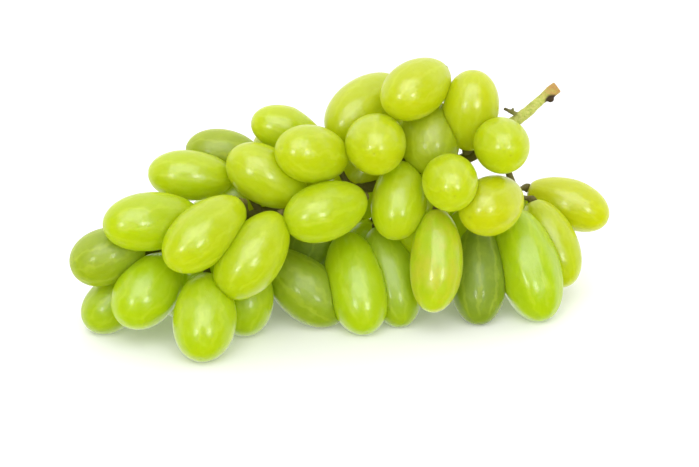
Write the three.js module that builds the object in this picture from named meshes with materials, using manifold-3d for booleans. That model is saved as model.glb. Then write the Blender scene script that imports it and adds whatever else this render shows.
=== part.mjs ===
// A bunch of pale green, elongated seedless grapes, cut from the vine and lying on its side.
// Millimetres, +Z up. The tip of the bunch is at -X, its cut stem at +X, and -Y is the front.
// The berries that show from the front are placed along the sightlines of a photograph, at their
// real size, and the ones behind and under them follow rows that fill the bunch.

import * as THREE from 'three';
import { mergeVertices } from 'three/addons/utils/BufferGeometryUtils.js';
import Module from 'manifold-3d';

const wasm = await Module();
wasm.setup();

// Viewpoint of the photograph: a level camera turned down by ELEVATION, looking along +Y
const ELEVATION = THREE.MathUtils.degToRad(22);
const EYE_DISTANCE = 700;
const FOCAL_PIXELS = 2100;
const FRAME_CENTRE = { column: 349.5, row: 233.5 };
const AIM_ACROSS = 3.5;
const AIM_UP = 23.8;

// Middle of the finished bunch on the surface, seen from the point that the depths are given from
const BUNCH_MIDDLE = new THREE.Vector3(2.47, -5.12, 0);

// A berry whose depth is SURFACE stands or lies on the surface, which settles how far back it is
const SURFACE = null;

// Berries that show from the front: pixel column and row of the centre, depth, turn of the tip in
// the picture and its lean toward the viewer in degrees, then the real length and width
const SEEN_BERRIES = {
  crown: [416.7, 88.4, 8, 215, 34, 27.6, 18.6],
  crown_left: [364.6, 108, 14, 222, 31, 33.2, 19],
  face_upper: [377.5, 143.5, -8, 250, 72, 26, 19.5],
  crown_right: [470.6, 111, 6, 85, 14, 27, 18.2],
  shoulder_upper: [501.5, 144.5, -4, 300, 65, 21.5, 17.8],
  inner_upper: [429.8, 136.5, -2, 268, 28, 26, 19.8],
  face_right: [450.3, 181.5, -16, 280, 65, 23.4, 17.7],
  shoulder_front: [492.3, 204.8, -18, 208, 46, 25.8, 18.8],
  face_middle: [397.8, 200, -10, 263, 24, 27.4, 17.9],
  shoulder_tip: [567.5, 203.8, 14, -22, 8, 29.4, 16.8],
  hanging_right: [528.6, 264.4, SURFACE, 284, 13, 38.8, 20.6],
  hanging_far_right: [550, 243, 8, 292, 10, 31.4, 17.6],
  hanging_blush: [435, 260, -20, 267, 9, 34, 17],
  hanging_shade: [478, 275, SURFACE, 270, 18, 33.5, 18],
  hanging_middle: [355.5, 282.5, SURFACE, 283, 25, 36.3, 20.2],
  hanging_inner: [390, 276, SURFACE, 285, 16, 35, 18.2],
  belly_middle: [326, 210.5, -24, 200, 27, 29.7, 18.8],
  ridge_middle: [312.3, 154, -10, 172, 46, 28.5, 18.5],
  ridge_back: [288.3, 130, 6, 165, 12, 25, 14.6],
  ridge_left: [267, 176, -6, 150, 12, 28.5, 18.4],
  ridge_far_left: [223, 153, 12, 175, 5, 24.7, 15.5],
  slope_upper: [191.3, 175.2, -2, 177, 10, 28, 16.2],
  slope_lower: [152.4, 221.4, -20, 186, 28, 33, 18.5],
  tip_upper: [107.8, 256, -20, 200, 8, 25, 18.3],
  tip_lower: [113.6, 301.5, SURFACE, 225, 15, 24, 16.8],
  tip_front: [148.5, 290, -30, 232, 30, 29, 19.8],
  belly_left: [205, 233, -28, 222, 26, 32.8, 19.2],
  belly_low: [252, 254.5, -36, 235, 15, 32.4, 19.6],
  foot_front: [204, 316.5, SURFACE, 268, 29, 30, 20.2],
  foot_left: [246, 297, SURFACE, 265, 10, 25.5, 18.4],
  foot_middle: [303, 286.5, SURFACE, 318, 5, 33, 19.4],
  inner_middle: [312, 236, 10, 300, 10, 26, 17],
  gap_crown: [360, 166, 14, 240, 5, 25, 17],
  gap_ridge: [240, 196, 8, 200, 0, 25, 16],
};

// Rows of berries behind and under those: centres of the first and last one, and how many
const HIDDEN_ROWS = [
  { onSurface: true, first: [-58, 0, 14], last: [66, 10, 16], count: 7 },
  { onSurface: true, first: [-46, 12, 12], last: [62, 30, 15], count: 7 },
  { onSurface: false, first: [-38, 14, 30], last: [19, 26, 31.5], count: 4 },
  { onSurface: false, first: [-14, 12, 46], last: [14, 20, 50], count: 2 },
  { onSurface: false, first: [-28, -6, 20], last: [24, 6, 26], count: 3 },
];
const ROW_JITTER = 2;
const HIDDEN_LENGTH = [27, 34];
const HIDDEN_SLENDERNESS = [0.56, 0.64];
const TIPWARD_LEAN = 0.55;

// Berries press on each other and on the surface
const SETTLING_ROUNDS = 60;
const PRESSED_TO = 0.95;
const SEEN_MOBILITY = 0.5;
const DRAWN_IN = 0.25;
const PUSH = 0.5;
const CLING = 0.2;
const CLINGS_WITHIN = 2.5;
const RACHIS_CLEARANCE = 0.8;
const PRESSED_INTO_SURFACE = 0.4;

// Form of a berry: a little fuller toward its tip
const BERRY_SIDES = 8;
const BERRY_RINGS = 6;
const FULLNESS_AT_TIP = 0.08;

// Rachis from the cut end to the tip of the bunch: pixel column and row, depth, and real radius
const RACHIS = [
  [557.5, 87, 12, 1.95],
  [551, 91.8, 11.6, 2.05],
  [540.5, 100.2, 10.9, 1.55],
  [523, 115.4, 10, 1.9],
  [497, 134, 10, 2],
  [472, 155, 11, 2.1],
  [425, 174, 11, 2],
  [370, 187, 5, 1.8],
  [310, 200, -2, 1.6],
  [250, 215, -7, 1.4],
  [190, 235, -11, 1.2],
  [140, 254, -14, 1.1],
];
const RACHIS_SIDES = 6;
const RACHIS_STEPS = 26;
const FIRST_BRANCHING = 4;

// Dried, forked stub of a tendril beside the peduncle, and the dark knot below its cut end
const STUB_PRONGS = [
  { from: [520, 116, 9.8], to: [504, 108.4, 8.4], radii: [1, 0.7, 0.5] },
  { from: [512.5, 113.5, 9.2], to: [513, 107.8, 8.6], radii: [0.6, 0.45, 0.35] },
];
const KNOT = { at: [550.3, 98.6, 10.9], radius: 1.3 };

// Laterals leave the rachis at regular stations, one for each side that carries berries
const STATION_SPACING = 17;
const TIPWARD_REACH = 9;
const SECTORS = 4;
const LATERAL_REACHES = [0.3, 0.45, 0.6, 0.75, 0.9];
const LATERAL_RADII = [1.4, 1.1];
const LATERAL_SIDES = 4;
const PEDICEL_RADII = [0.9, 0.9, 0.9, 1.8];
const PEDICEL_SIDES = 3;
const PEDICEL_STEPS = 3;
const PEDICEL_STANDOFF = 0.4;
const STEM_CLEARANCE = 0.3;

// Block that stands for the surface when the berries are pressed flat on it
const SURFACE_EXTENT = 400;
const SURFACE_DEPTH = 40;

// Stems bend round the berries on their way, and keep behind them as seen from the front
const BEND_MARGIN = 1.2;
const BEND_SHARES = [0, 0.12, 0.24, 0.36];
const BEND_DIRECTIONS = 14;
const BEND_COST = 0.02;
const SHOWN_COST = 0.3;
const GOLDEN_ANGLE = Math.PI * (3 - Math.sqrt(5));
const PATH_SAMPLES = 12;

// A scrap smaller than this, in cubic millimetres, is dropped, and points closer than this are one
const LEAST_VOLUME = 1;
const LEAST_DISTANCE = 1e-5;

const RIGHT = new THREE.Vector3(1, 0, 0);
const UP = new THREE.Vector3(0, Math.sin(ELEVATION), Math.cos(ELEVATION));
const AWAY = new THREE.Vector3(0, Math.cos(ELEVATION), -Math.sin(ELEVATION));
const EYE = new THREE.Vector3()
  .addScaledVector(RIGHT, AIM_ACROSS)
  .addScaledVector(UP, AIM_UP)
  .addScaledVector(AWAY, -EYE_DISTANCE);

function sightline(column, row) {
  return AWAY.clone()
    .addScaledVector(RIGHT, (column - FRAME_CENTRE.column) / FOCAL_PIXELS)
    .addScaledVector(UP, (FRAME_CENTRE.row - row) / FOCAL_PIXELS);
}

function pointAtDepth(column, row, depth) {
  const ray = sightline(column, row);
  return EYE.clone().addScaledVector(ray, (depth - EYE.y) / ray.y);
}

function pointAtHeight(column, row, height) {
  const ray = sightline(column, row);
  return EYE.clone().addScaledVector(ray, (height - EYE.z) / ray.z);
}

function axisInPicture(turn, lean) {
  const angle = THREE.MathUtils.degToRad(turn);
  const out = THREE.MathUtils.degToRad(lean);
  return new THREE.Vector3()
    .addScaledVector(RIGHT, Math.cos(angle) * Math.cos(out))
    .addScaledVector(UP, Math.sin(angle) * Math.cos(out))
    .addScaledVector(AWAY, -Math.sin(out))
    .normalize();
}

// Height of a berry's centre when it is pressed on the surface
function restingHeight(axis, length, width) {
  const along = (axis.z * length) / 2;
  const across = (Math.sqrt(1 - axis.z * axis.z) * width) / 2;
  return Math.hypot(along, across) - PRESSED_INTO_SURFACE;
}

// Repeatable random draw between two limits
let drawState = 20261;
function draw(low, high) {
  drawState = (drawState * 16807) % 2147483647;
  return low + ((high - low) * drawState) / 2147483647;
}

const rachisPoints = RACHIS.map(([column, row, depth]) => pointAtDepth(column, row, depth));

// Nearest point on the branching part of the rachis, with the way to the tip of the bunch there
function nearestOnRachis(point) {
  let nearest = null;
  let travelled = 0;
  for (let k = FIRST_BRANCHING; k + 1 < rachisPoints.length; k += 1) {
    const start = rachisPoints[k];
    const step = rachisPoints[k + 1].clone().sub(start);
    const share = THREE.MathUtils.clamp(point.clone().sub(start).dot(step) / step.lengthSq(), 0, 1);
    const foot = start.clone().addScaledVector(step, share);
    const distance = foot.distanceTo(point);
    if (nearest === null || distance < nearest.distance) {
      const tipward = step.clone().normalize();
      nearest = { distance, foot, tipward, travelled: travelled + share * step.length() };
    }
    travelled += step.length();
  }
  return nearest;
}

function rachisAt(distance) {
  let left = distance;
  for (let k = FIRST_BRANCHING; k + 1 < rachisPoints.length; k += 1) {
    const span = rachisPoints[k].distanceTo(rachisPoints[k + 1]);
    if (left <= span || k + 2 === rachisPoints.length) {
      return rachisPoints[k].clone().lerp(rachisPoints[k + 1], Math.min(1, left / span));
    }
    left -= span;
  }
  return null;
}

function shape(axis, length, width) {
  return { axis, length, width, coreHalf: (length * length - width * width) / (2 * length) };
}

function seenBerries() {
  return Object.values(SEEN_BERRIES).map(([column, row, depth, turn, lean, length, width]) => {
    const axis = axisInPicture(turn, lean);
    const onSurface = depth === SURFACE;
    const centre = onSurface
      ? pointAtHeight(column, row, restingHeight(axis, length, width))
      : pointAtDepth(column, row, depth);
    const track = centre.clone().sub(EYE).normalize();
    const mobility = onSurface ? 0 : SEEN_MOBILITY;
    return { ...shape(axis, length, width), centre, track, onSurface, mobility };
  });
}

// A hidden berry points away from the rachis and leans toward the tip of the bunch
function hiddenBerries() {
  const berries = [];
  for (const { onSurface, first, last, count } of HIDDEN_ROWS) {
    for (let k = 0; k < count; k += 1) {
      const share = k / (count - 1);
      const centre = new THREE.Vector3(
        ...first.map((value, i) => value + (last[i] - value) * share + draw(-ROW_JITTER, ROW_JITTER)),
      );
      const { foot, tipward } = nearestOnRachis(centre);
      const axis = centre.clone().sub(foot).normalize().addScaledVector(tipward, TIPWARD_LEAN).normalize();
      const length = draw(...HIDDEN_LENGTH);
      const width = length * draw(...HIDDEN_SLENDERNESS);
      const lowest = restingHeight(axis, length, width);
      centre.z = onSurface ? lowest : Math.max(centre.z, lowest);
      berries.push({ ...shape(axis, length, width), centre, track: null, onSurface, mobility: 1 });
    }
  }
  return berries;
}

// A berry is filled by balls centred on its core line, which shrink toward its ends
function ballRadius({ length, width }, along) {
  const reach = (length * length - width * width) / 4;
  return (width / 2) * Math.sqrt(Math.max(0, 1 - (along * along) / reach));
}

// Closest balls of two berries, or of a berry and a stretch of the rachis
function closestOnCores(a, b) {
  const halfA = a.coreHalf;
  const halfB = b.coreHalf;
  const offset = a.centre.clone().sub(b.centre);
  const parallel = a.axis.dot(b.axis);
  const alongA = a.axis.dot(offset);
  const alongB = b.axis.dot(offset);
  const spread = 1 - parallel * parallel;
  let s = spread > LEAST_DISTANCE ? (parallel * alongB - alongA) / spread : 0;
  s = THREE.MathUtils.clamp(s, -halfA, halfA);
  const t = THREE.MathUtils.clamp(parallel * s + alongB, -halfB, halfB);
  s = THREE.MathUtils.clamp(parallel * t - alongA, -halfA, halfA);
  const apart = a.centre.clone().addScaledVector(a.axis, s).sub(b.centre).addScaledVector(b.axis, -t);
  const reach = b.thickness
    ? ballRadius(a, s) + b.thickness
    : PRESSED_TO * (ballRadius(a, s) + ballRadius(b, t));
  return { apart, reach };
}

// A seen berry only moves along its sightline, and no berry sinks into the surface or leaves it
function nudge(berry, move) {
  const { centre, axis, length, width, track, onSurface } = berry;
  if (track) {
    centre.addScaledVector(track, move.dot(track));
  } else {
    centre.add(move);
  }
  const short = restingHeight(axis, length, width) - centre.z;
  if (track && short > 0) {
    centre.addScaledVector(track, short / track.z);
  } else if (short > 0 || onSurface) {
    centre.z += short;
  }
}

function partPair(a, b) {
  if (a.mobility + b.mobility === 0 || a.centre.distanceTo(b.centre) > (a.length + b.length) / 2) {
    return;
  }
  const { apart, reach } = closestOnCores(a, b);
  const distance = apart.length();
  const clings = distance > reach && !b.thickness;
  if (distance > reach + (b.thickness ? 0 : CLINGS_WITHIN) || distance < LEAST_DISTANCE) {
    return;
  }
  const strength = clings ? CLING : PUSH;
  apart.multiplyScalar((strength * (reach - distance)) / distance / (a.mobility + b.mobility));
  nudge(a, apart.clone().multiplyScalar(a.mobility));
  if (b.mobility > 0) {
    nudge(b, apart.clone().multiplyScalar(-b.mobility));
  }
}

// Every berry is drawn in toward the rachis until it meets others or the rachis itself
function drawToRachis(berry) {
  const { distance, foot } = nearestOnRachis(berry.centre);
  nudge(berry, foot.sub(berry.centre).multiplyScalar((DRAWN_IN * berry.mobility) / distance));
}

function rachisStretches() {
  return rachisPoints.slice(0, -1).map((start, k) => {
    const step = rachisPoints[k + 1].clone().sub(start);
    const length = step.length();
    const centre = start.clone().addScaledVector(step, 0.5);
    const axis = step.divideScalar(length);
    const thickness = RACHIS[k][3] + RACHIS_CLEARANCE;
    return { centre, axis, length, coreHalf: length / 2, thickness, mobility: 0 };
  });
}

function settle(berries) {
  const stretches = rachisStretches();
  for (let round = 0; round < SETTLING_ROUNDS; round += 1) {
    berries.forEach((berry, i) => {
      drawToRachis(berry);
      berries.slice(0, i).forEach((other) => partPair(berry, other));
      stretches.forEach((stretch) => partPair(berry, stretch));
    });
  }
  return berries;
}

// Closed solid of a three.js geometry
function solid(geometry) {
  const bare = geometry.clone();
  bare.deleteAttribute('normal');
  bare.deleteAttribute('uv');
  const merged = mergeVertices(bare, LEAST_DISTANCE);
  const corners = merged.index.array;
  const kept = [];
  for (let k = 0; k < corners.length; k += 3) {
    const [a, b, c] = corners.slice(k, k + 3);
    if (a !== b && b !== c && c !== a) {
      kept.push(a, b, c);
    }
  }
  const mesh = new wasm.Mesh({
    numProp: 3,
    vertProperties: Float32Array.from(merged.attributes.position.array),
    triVerts: Uint32Array.from(kept),
  });
  return new wasm.Manifold(mesh);
}

function union(solids) {
  let rest = solids;
  while (rest.length > 1) {
    const next = [];
    for (let k = 0; k < rest.length; k += 2) {
      next.push(k + 1 < rest.length ? rest[k].add(rest[k + 1]) : rest[k]);
    }
    rest = next;
  }
  return rest[0];
}

// Outer body of a solid, without the hollows that its pieces close in and without loose scraps
function withoutHollows(body) {
  return union(body.decompose().filter((piece) => piece.volume() > LEAST_VOLUME));
}

function geometryOf(body) {
  const mesh = body.getMesh();
  const geometry = new THREE.BufferGeometry();
  geometry.setAttribute('position', new THREE.BufferAttribute(Float32Array.from(mesh.vertProperties), 3));
  geometry.setIndex(Array.from(mesh.triVerts));
  geometry.computeVertexNormals();
  return geometry;
}

// A berry turned on a lathe, its stem end at -Y, then laid along its axis
function berrySolid({ centre, axis, length, width }) {
  const widened = 1 / Math.sqrt(Math.cos(Math.PI / BERRY_SIDES));
  const profile = [];
  for (let k = 0; k <= BERRY_RINGS; k += 1) {
    const angle = (Math.PI * k) / BERRY_RINGS;
    const height = -Math.cos(angle);
    const radius = k % BERRY_RINGS === 0 ? 0 : Math.sin(angle) * (1 + FULLNESS_AT_TIP * height) * widened;
    profile.push(new THREE.Vector2((radius * width) / 2, (height * length) / 2));
  }
  const geometry = new THREE.LatheGeometry(profile, BERRY_SIDES);
  geometry.applyQuaternion(new THREE.Quaternion().setFromUnitVectors(new THREE.Vector3(0, 1, 0), axis));
  geometry.translate(centre.x, centre.y, centre.z);
  return solid(geometry);
}

// A closed limb along a curve, turned on a lathe and then bent, its radii given for the curve's own
// stations and every side of it moved out by the extra
function limb(curve, radii, sides, steps, extra = 0) {
  const profile = [new THREE.Vector2(0, 0)];
  for (let k = 0; k <= steps; k += 1) {
    const place = curve.getUtoTmapping(k / steps) * (radii.length - 1);
    const before = Math.min(Math.floor(place), radii.length - 2);
    const radius = THREE.MathUtils.lerp(radii[before], radii[before + 1], place - before);
    profile.push(new THREE.Vector2(radius + extra / Math.cos(Math.PI / sides), k));
  }
  profile.push(new THREE.Vector2(0, steps));
  const geometry = new THREE.LatheGeometry(profile, sides);
  const frames = curve.computeFrenetFrames(steps);
  const position = geometry.attributes.position;
  const point = new THREE.Vector3();
  for (let k = 0; k < position.count; k += 1) {
    const step = Math.round(position.getY(k));
    const overrun = step === 0 ? -extra : step === steps ? extra : 0;
    curve.getPointAt(step / steps, point);
    point.addScaledVector(frames.tangents[step], overrun);
    point.addScaledVector(frames.normals[step], position.getX(k));
    point.addScaledVector(frames.binormals[step], -position.getZ(k));
    position.setXYZ(k, point.x, point.y, point.z);
  }
  return solid(geometry);
}

// How deep a point lies in the berries other than the one it belongs to: 0 outside them all
function depthInBerries(point, berries, own) {
  let depth = 0;
  for (const berry of berries) {
    const offset = point.clone().sub(berry.centre);
    const along = offset.dot(berry.axis);
    const across = Math.sqrt(Math.max(0, offset.lengthSq() - along * along));
    const share = Math.hypot(along / (berry.length / 2), across / (berry.width / 2 + BEND_MARGIN));
    if (berry !== own && share < 1) {
      depth += 1 - share;
    }
  }
  return depth;
}

// Whether the sightline to a point crosses a berry before it gets there
function isBehind(point, { centre, axis, length, width }) {
  const scaled = (vector) => {
    const along = vector.dot(axis);
    return vector
      .clone()
      .addScaledVector(axis, -along)
      .multiplyScalar(2 / width)
      .addScaledVector(axis, (2 * along) / length);
  };
  const start = scaled(EYE.clone().sub(centre));
  const ray = scaled(point.clone().sub(EYE));
  const share = THREE.MathUtils.clamp(-start.dot(ray) / ray.lengthSq(), 0, 1);
  return start.addScaledVector(ray, share).length() < 1;
}

function costOfPath(path, berries, own) {
  return path.getPoints(PATH_SAMPLES).reduce((sum, point) => {
    const shown = !berries.some((berry) => isBehind(point, berry));
    return sum + depthInBerries(point, berries, own) + (shown ? SHOWN_COST : 0);
  }, 0);
}

// Path between two points, bent to the side on which it runs clearest of the berries and least seen
function clearPath(from, to, berries, own) {
  const middle = from.clone().lerp(to, 0.5);
  let best = null;
  for (const share of BEND_SHARES) {
    const reach = share * from.distanceTo(to);
    for (let k = 0; k < BEND_DIRECTIONS; k += 1) {
      const height = 1 - (2 * k + 1) / BEND_DIRECTIONS;
      const turn = k * GOLDEN_ANGLE;
      const level = Math.sqrt(1 - height * height);
      const bend = new THREE.Vector3(level * Math.cos(turn), level * Math.sin(turn), height);
      const path = new THREE.QuadraticBezierCurve3(from, bend.multiplyScalar(reach).add(middle), to);
      const cost = costOfPath(path, berries, own) + reach * BEND_COST;
      if (best === null || cost < best.cost) {
        best = { path, cost };
      }
    }
  }
  return best;
}

// Berries grouped by the station of the rachis that feeds them and by their side of it
function sprays(berries) {
  const groups = new Map();
  for (const berry of berries) {
    const stemEnd = berry.centre.clone().addScaledVector(berry.axis, -berry.length / 2 - PEDICEL_STANDOFF);
    const { foot, tipward, travelled } = nearestOnRachis(stemEnd);
    const station = Math.max(0, Math.round((travelled - TIPWARD_REACH) / STATION_SPACING));
    const side = new THREE.Vector3(0, 0, 1).cross(tipward).normalize();
    const lift = tipward.clone().cross(side);
    const outward = stemEnd.clone().sub(foot);
    const angle = Math.atan2(outward.dot(lift), outward.dot(side)) + Math.PI / SECTORS;
    const sector = Math.floor((angle / (2 * Math.PI)) * SECTORS + SECTORS) % SECTORS;
    const key = station * SECTORS + sector;
    if (!groups.has(key)) {
      groups.set(key, { root: rachisAt(station * STATION_SPACING), members: [] });
    }
    groups.get(key).members.push({ berry, stemEnd });
  }
  return [...groups.values()].map((spray) => branched(spray, berries));
}

// The fork of a spray lies where its lateral and its pedicels together run clearest
function branched({ root, members }, berries) {
  const middle = new THREE.Vector3();
  members.forEach(({ stemEnd }) => middle.addScaledVector(stemEnd, 1 / members.length));
  let best = null;
  for (const reach of LATERAL_REACHES) {
    const fork = root.clone().lerp(middle, reach);
    const lateral = clearPath(root, fork, berries, null);
    const pedicels = members.map(({ berry, stemEnd }) => clearPath(fork, stemEnd, berries, berry));
    const cost = pedicels.reduce((sum, pedicel) => sum + pedicel.cost, lateral.cost);
    if (best === null || cost < best.cost) {
      best = { cost, lateral: lateral.path, pedicels: pedicels.map(({ path }) => path) };
    }
  }
  return best;
}

function stemSolid(groups, extra) {
  const rachis = new THREE.CatmullRomCurve3(rachisPoints, false, 'catmullrom', 0.5);
  const pieces = [limb(rachis, RACHIS.map((row) => row[3]), RACHIS_SIDES, RACHIS_STEPS, extra)];
  for (const { from, to, radii } of STUB_PRONGS) {
    const prong = new THREE.LineCurve3(pointAtDepth(...from), pointAtDepth(...to));
    pieces.push(limb(prong, radii, LATERAL_SIDES, 2, extra));
  }
  const knot = new THREE.IcosahedronGeometry(KNOT.radius + extra, 0);
  knot.translate(...pointAtDepth(...KNOT.at));
  pieces.push(solid(knot));
  for (const { lateral, pedicels } of groups) {
    pieces.push(limb(lateral, LATERAL_RADII, LATERAL_SIDES, 2, extra));
    pieces.push(...pedicels.map((path) => limb(path, PEDICEL_RADII, PEDICEL_SIDES, PEDICEL_STEPS, extra)));
  }
  return union(pieces);
}

// The space that the surface takes up
function underSurface() {
  const slab = new THREE.BoxGeometry(SURFACE_EXTENT, SURFACE_EXTENT, SURFACE_DEPTH);
  slab.translate(0, 0, -SURFACE_DEPTH / 2);
  return solid(slab);
}

function berriesSolid(berries, fatStem) {
  const fused = withoutHollows(union(berries.map(berrySolid)));
  return withoutHollows(fused.subtract(underSurface()).subtract(fatStem));
}

function mesh(name, body, finish) {
  const geometry = geometryOf(body);
  geometry.translate(-BUNCH_MIDDLE.x, -BUNCH_MIDDLE.y, 0);
  const piece = new THREE.Mesh(geometry, new THREE.MeshStandardMaterial(finish));
  piece.name = name;
  return piece;
}

const berries = settle([...seenBerries(), ...hiddenBerries()]);
const groups = sprays(berries);
const stem = withoutHollows(stemSolid(groups, 0));
const fused = berriesSolid(berries, stemSolid(groups, STEM_CLEARANCE));

const group = new THREE.Group();
group.add(mesh('berries', fused, { color: 0xb4cf2e, roughness: 0.28, metalness: 0 }));
group.add(mesh('stem', stem, { color: 0xb9b65a, roughness: 0.75, metalness: 0 }));

export default group;
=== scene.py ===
"""Looks of a bunch of pale green, elongated seedless grapes that lies on its side.

The berries and the stem follow the rules that the solids follow, with the same named values in
millimetres, and are made finer: pressed flat where they meet, dimpled where their stems join, and
fused to one branching stem. Meshes are written in metres in the row frame.
"""

import math

import bpy
import numpy as np
from mathutils import Matrix


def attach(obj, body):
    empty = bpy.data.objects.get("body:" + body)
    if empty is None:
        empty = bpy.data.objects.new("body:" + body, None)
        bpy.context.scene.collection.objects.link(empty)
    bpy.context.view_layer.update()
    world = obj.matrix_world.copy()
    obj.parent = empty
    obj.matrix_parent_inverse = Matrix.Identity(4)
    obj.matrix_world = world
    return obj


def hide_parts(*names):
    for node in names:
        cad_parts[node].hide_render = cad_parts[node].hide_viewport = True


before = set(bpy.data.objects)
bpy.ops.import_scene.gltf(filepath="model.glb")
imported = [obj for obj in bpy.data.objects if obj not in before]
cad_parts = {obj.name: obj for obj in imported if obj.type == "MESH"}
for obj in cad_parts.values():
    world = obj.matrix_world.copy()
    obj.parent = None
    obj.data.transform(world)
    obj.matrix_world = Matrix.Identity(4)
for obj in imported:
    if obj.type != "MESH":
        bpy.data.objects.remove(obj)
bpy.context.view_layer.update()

MM = 0.001

# Viewpoint of the photograph: a level camera turned down by ELEVATION, looking along +Y
ELEVATION = math.radians(22)
EYE_DISTANCE = 700
FOCAL_PIXELS = 2100
FRAME_CENTRE = (349.5, 233.5)
FRAME_WIDTH = 699
AIM_ACROSS = 3.5
AIM_UP = 23.8
SENSOR_MM = 36

RIGHT = np.array([1.0, 0.0, 0.0])
UP = np.array([0.0, math.sin(ELEVATION), math.cos(ELEVATION)])
AWAY = np.array([0.0, math.cos(ELEVATION), -math.sin(ELEVATION)])
EYE = AIM_ACROSS * RIGHT + AIM_UP * UP - EYE_DISTANCE * AWAY

# Middle of the bunch on the surface, seen from the point that the depths are given from
BUNCH_MIDDLE = np.array([2.47, -5.12, 0.0])

# A berry whose depth is SURFACE stands or lies on the surface, which settles how far back it is
SURFACE = None

# Berries that show from the front: pixel column and row of the centre, depth, turn of the tip in
# the picture and its lean toward the viewer in degrees, then the real length and width
SEEN_BERRIES = {
    "crown": (416.7, 88.4, 8, 215, 34, 27.6, 18.6),
    "crown_left": (364.6, 108, 14, 222, 31, 33.2, 19),
    "face_upper": (377.5, 143.5, -8, 250, 72, 26, 19.5),
    "crown_right": (470.6, 111, 6, 85, 14, 27, 18.2),
    "shoulder_upper": (501.5, 144.5, -4, 300, 65, 21.5, 17.8),
    "inner_upper": (429.8, 136.5, -2, 268, 28, 26, 19.8),
    "face_right": (450.3, 181.5, -16, 280, 65, 23.4, 17.7),
    "shoulder_front": (492.3, 204.8, -18, 208, 46, 25.8, 18.8),
    "face_middle": (397.8, 200, -10, 263, 24, 27.4, 17.9),
    "shoulder_tip": (567.5, 203.8, 14, -22, 8, 29.4, 16.8),
    "hanging_right": (528.6, 264.4, SURFACE, 284, 13, 38.8, 20.6),
    "hanging_far_right": (550, 243, 8, 292, 10, 31.4, 17.6),
    "hanging_blush": (435, 260, -20, 267, 9, 34, 17),
    "hanging_shade": (478, 275, SURFACE, 270, 18, 33.5, 18),
    "hanging_middle": (355.5, 282.5, SURFACE, 283, 25, 36.3, 20.2),
    "hanging_inner": (390, 276, SURFACE, 285, 16, 35, 18.2),
    "belly_middle": (326, 210.5, -24, 200, 27, 29.7, 18.8),
    "ridge_middle": (312.3, 154, -10, 172, 46, 28.5, 18.5),
    "ridge_back": (288.3, 130, 6, 165, 12, 25, 14.6),
    "ridge_left": (267, 176, -6, 150, 12, 28.5, 18.4),
    "ridge_far_left": (223, 153, 12, 175, 5, 24.7, 15.5),
    "slope_upper": (191.3, 175.2, -2, 177, 10, 28, 16.2),
    "slope_lower": (152.4, 221.4, -20, 186, 28, 33, 18.5),
    "tip_upper": (107.8, 256, -20, 200, 8, 25, 18.3),
    "tip_lower": (113.6, 301.5, SURFACE, 225, 15, 24, 16.8),
    "tip_front": (148.5, 290, -30, 232, 30, 29, 19.8),
    "belly_left": (205, 233, -28, 222, 26, 32.8, 19.2),
    "belly_low": (252, 254.5, -36, 235, 15, 32.4, 19.6),
    "foot_front": (204, 316.5, SURFACE, 268, 29, 30, 20.2),
    "foot_left": (246, 297, SURFACE, 265, 10, 25.5, 18.4),
    "foot_middle": (303, 286.5, SURFACE, 318, 5, 33, 19.4),
    "inner_middle": (312, 236, 10, 300, 10, 26, 17),
    "gap_crown": (360, 166, 14, 240, 5, 25, 17),
    "gap_ridge": (240, 196, 8, 200, 0, 25, 16),
}

# Rows of berries behind and under those: on the surface or not, first and last centre, and count
HIDDEN_ROWS = [
    (True, (-58, 0, 14), (66, 10, 16), 7),
    (True, (-46, 12, 12), (62, 30, 15), 7),
    (False, (-38, 14, 30), (19, 26, 31.5), 4),
    (False, (-14, 12, 46), (14, 20, 50), 2),
    (False, (-28, -6, 20), (24, 6, 26), 3),
]
ROW_JITTER = 2
HIDDEN_LENGTH = (27, 34)
HIDDEN_SLENDERNESS = (0.56, 0.64)
TIPWARD_LEAN = 0.55

# Berries press on each other and on the surface
SETTLING_ROUNDS = 60
PRESSED_TO = 0.95
SEEN_MOBILITY = 0.5
DRAWN_IN = 0.25
PUSH = 0.5
CLING = 0.2
CLINGS_WITHIN = 2.5
RACHIS_CLEARANCE = 0.8
PRESSED_INTO_SURFACE = 0.4
LEAST_DISTANCE = 1e-5

# Rachis from the cut end to the tip of the bunch: pixel column and row, depth, and real radius
RACHIS = [
    (557.5, 87, 12, 1.95),
    (551, 91.8, 11.6, 2.05),
    (540.5, 100.2, 10.9, 1.55),
    (523, 115.4, 10, 1.9),
    (497, 134, 10, 2),
    (472, 155, 11, 2.1),
    (425, 174, 11, 2),
    (370, 187, 5, 1.8),
    (310, 200, -2, 1.6),
    (250, 215, -7, 1.4),
    (190, 235, -11, 1.2),
    (140, 254, -14, 1.1),
]
FIRST_BRANCHING = 4

# Dried, forked stub of a tendril beside the peduncle, and the dark knot below its cut end
STUB_PRONGS = [
    ((520, 116, 9.8), (504, 108.4, 8.4), (1, 0.7, 0.5)),
    ((512.5, 113.5, 9.2), (513, 107.8, 8.6), (0.6, 0.45, 0.35)),
]
KNOT = ((550.3, 98.6, 10.9), 1.3)

# Laterals leave the rachis at regular stations, one for each side that carries berries
STATION_SPACING = 17
TIPWARD_REACH = 9
SECTORS = 4
LATERAL_REACHES = (0.3, 0.45, 0.6, 0.75, 0.9)
PEDICEL_STANDOFF = 0.4

# Stems bend round the berries on their way, and keep behind them as seen from the front
BEND_MARGIN = 1.2
BEND_SHARES = (0, 0.12, 0.24, 0.36)
BEND_DIRECTIONS = 14
BEND_COST = 0.02
SHOWN_COST = 0.3
GOLDEN_ANGLE = math.pi * (3 - math.sqrt(5))
PATH_SAMPLES = 12


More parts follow.
